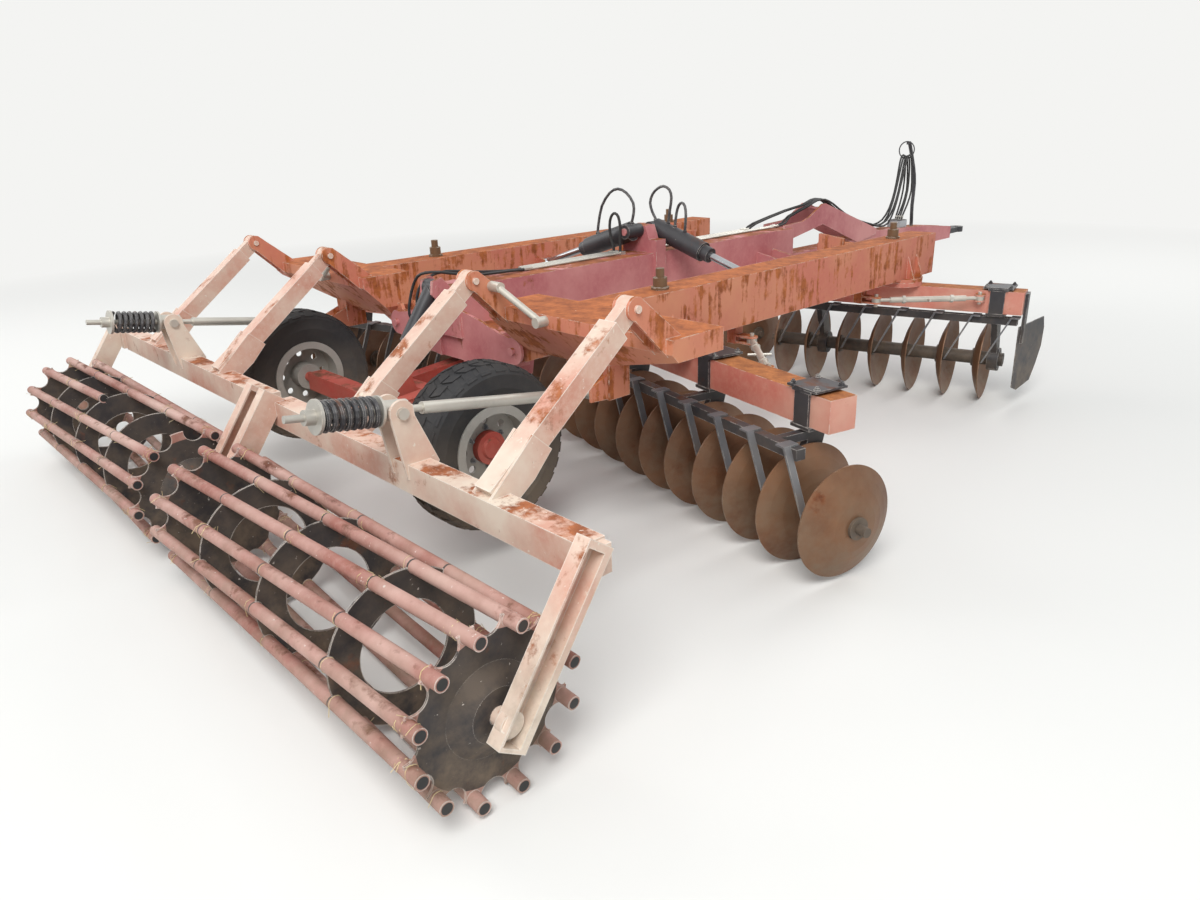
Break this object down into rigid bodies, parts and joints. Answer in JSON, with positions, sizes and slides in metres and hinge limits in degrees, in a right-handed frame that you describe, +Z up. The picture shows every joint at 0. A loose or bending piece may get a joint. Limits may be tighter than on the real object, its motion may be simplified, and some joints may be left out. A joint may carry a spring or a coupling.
{
  "type": "folding disc harrow",
  "caption": "Trailed folding disc harrow with angled disc gangs under two hinged wings, transport wheels on a swinging axle and sprung tube rollers behind.",
  "frame": {"origin": "centre of the machine's outline on the ground", "axes": "+Y forward towards the tractor, +X to the machine's right, +Z up"},
  "size_m": [4.781, 7.8689, 1.664],
  "materials": {
    "faded_paint": "matt",
    "red_paint": "matt",
    "black_steel": "satin",
    "rusty_disc": "rough",
    "roller_rust": "rough",
    "scraper_steel": "satin",
    "zinc": "satin",
    "chrome_rod": "gloss",
    "tyre": "matt",
    "hose_rubber": "satin",
    "rim_grey": "satin"
  },
  "bodies": {
    "chassis": {"main_beam": "faded_paint", "tower": "faded_paint", "drawbar": "faded_paint", "hitch_eye": "black_steel", "hydraulic_pipes": "zinc", "hoses": "hose_rubber", "hose_stand": "black_steel"},
    "axle": {"axle_frame": "red_paint"},
    "lift_barrel": {"lift_barrel": "black_steel"},
    "lift_rod": {"lift_rod": "chrome_rod"},
    "wheel_left": {"tyre_left": "tyre", "wheel_left": "rim_grey"},
    "wing_left": {"wing_frame_left": "faded_paint", "gang_arms_left": "faded_paint", "gang_hangers_left": "black_steel", "scrapers_left": "scraper_steel", "side_shield_left": "black_steel", "adjusters_left": "zinc", "roller_frame_left": "faded_paint", "springs_left": "black_steel", "spring_rods_left": "zinc"},
    "fold_barrel_left": {"fold_barrel_left": "black_steel"},
    "fold_rod_left": {"fold_rod_left": "chrome_rod"},
    "rear_gang_left": {"rear_discs_left": "rusty_disc", "rear_shaft_left": "black_steel"},
    "front_gang_left": {"front_discs_left": "rusty_disc", "front_shaft_left": "black_steel"},
    "roller_left": {"roller_left": "roller_rust"},
    "wheel_right": {"tyre_right": "tyre", "wheel_right": "rim_grey"},
    "wing_right": {"wing_frame_right": "faded_paint", "gang_arms_right": "faded_paint", "gang_hangers_right": "black_steel", "scrapers_right": "scraper_steel", "side_shield_right": "black_steel", "adjusters_right": "zinc", "roller_frame_right": "faded_paint", "springs_right": "black_steel", "spring_rods_right": "zinc"},
    "fold_barrel_right": {"fold_barrel_right": "black_steel"},
    "fold_rod_right": {"fold_rod_right": "chrome_rod"},
    "rear_gang_right": {"rear_discs_right": "rusty_disc", "rear_shaft_right": "black_steel"},
    "front_gang_right": {"front_discs_right": "rusty_disc", "front_shaft_right": "black_steel"},
    "roller_right": {"roller_right": "roller_rust"}
  },
  "joints": [
    {"name": "axle_swing", "type": "hinge", "parent": "chassis", "child": "axle", "pos_m": [0, -1.9075, 0.62], "axis": [1, 0, 0], "range_deg": [0, 28]},
    {"name": "lift_barrel_pivot", "type": "hinge", "parent": "chassis", "child": "lift_barrel", "pos_m": [0, -2.2975, 1.11], "axis": [1, 0, 0], "range_deg": [0, 17.14]},
    {"name": "lift_rod_slide", "type": "slide", "parent": "lift_barrel", "child": "lift_rod", "axis": [0, -0.5832, -0.8123], "range_m": [0, 0.281]},
    {"name": "wing_fold_left", "type": "hinge", "parent": "chassis", "child": "wing_left", "pos_m": [-0.56, -0.6275, 0.83], "axis": [0, 1, 0], "range_deg": [0, 70]},
    {"name": "fold_barrel_pivot_left", "type": "hinge", "parent": "chassis", "child": "fold_barrel_left", "pos_m": [0, -0.7695, 1.245], "axis": [0, 1, 0], "range_deg": [0, 10.92]},
    {"name": "fold_rod_slide_left", "type": "slide", "parent": "fold_barrel_left", "child": "fold_rod_left", "axis": [-0.9545, 0, -0.2983], "range_m": [-0.383, 0]},
    {"name": "wheel_spin_left", "type": "hinge", "parent": "axle", "child": "wheel_left", "pos_m": [-0.92, -2.6875, 0.545], "axis": [1, 0, 0], "continuous": true},
    {"name": "rear_gang_spin_left", "type": "hinge", "parent": "wing_left", "child": "rear_gang_left", "pos_m": [-1.021, -1.4945, 0.28], "axis": [-0.9703, -0.2419, 0], "continuous": true},
    {"name": "front_gang_spin_left", "type": "hinge", "parent": "wing_left", "child": "front_gang_left", "pos_m": [-1.021, 0.9845, 0.28], "axis": [-0.9703, 0.2419, 0], "continuous": true},
    {"name": "roller_spin_left", "type": "hinge", "parent": "wing_left", "child": "roller_left", "pos_m": [-1.196, -3.6275, 0.307], "axis": [1, 0, 0], "continuous": true},
    {"name": "wing_fold_right", "type": "hinge", "parent": "chassis", "child": "wing_right", "pos_m": [0.56, -0.6275, 0.83], "axis": [0, -1, 0], "range_deg": [0, 70]},
    {"name": "fold_barrel_pivot_right", "type": "hinge", "parent": "chassis", "child": "fold_barrel_right", "pos_m": [0, -0.5455, 1.245], "axis": [0, -1, 0], "range_deg": [0, 10.92]},
    {"name": "fold_rod_slide_right", "type": "slide", "parent": "fold_barrel_right", "child": "fold_rod_right", "axis": [0.9545, 0, -0.2983], "range_m": [-0.383, 0]},
    {"name": "wheel_spin_right", "type": "hinge", "parent": "axle", "child": "wheel_right", "pos_m": [0.92, -2.6875, 0.545], "axis": [1, 0, 0], "continuous": true},
    {"name": "rear_gang_spin_right", "type": "hinge", "parent": "wing_right", "child": "rear_gang_right", "pos_m": [1.021, -1.4945, 0.28], "axis": [0.9703, -0.2419, 0], "continuous": true},
    {"name": "front_gang_spin_right", "type": "hinge", "parent": "wing_right", "child": "front_gang_right", "pos_m": [1.021, 0.9845, 0.28], "axis": [0.9703, 0.2419, 0], "continuous": true},
    {"name": "roller_spin_right", "type": "hinge", "parent": "wing_right", "child": "roller_right", "pos_m": [1.196, -3.6275, 0.307], "axis": [1, 0, 0], "continuous": true}
  ],
  "couplings": [
    {"joint": "lift_barrel_pivot", "follows": "axle_swing", "ratio": 0.59074},
    {"joint": "lift_rod_slide", "follows": "axle_swing", "m_per_rad": 0.56894},
    {"joint": "fold_barrel_pivot_left", "follows": "wing_fold_left", "ratio": 0.14736},
    {"joint": "fold_rod_slide_left", "follows": "wing_fold_left", "m_per_rad": -0.31103},
    {"joint": "fold_barrel_pivot_right", "follows": "wing_fold_right", "ratio": 0.14736},
    {"joint": "fold_rod_slide_right", "follows": "wing_fold_right", "m_per_rad": -0.31103}
  ]
}
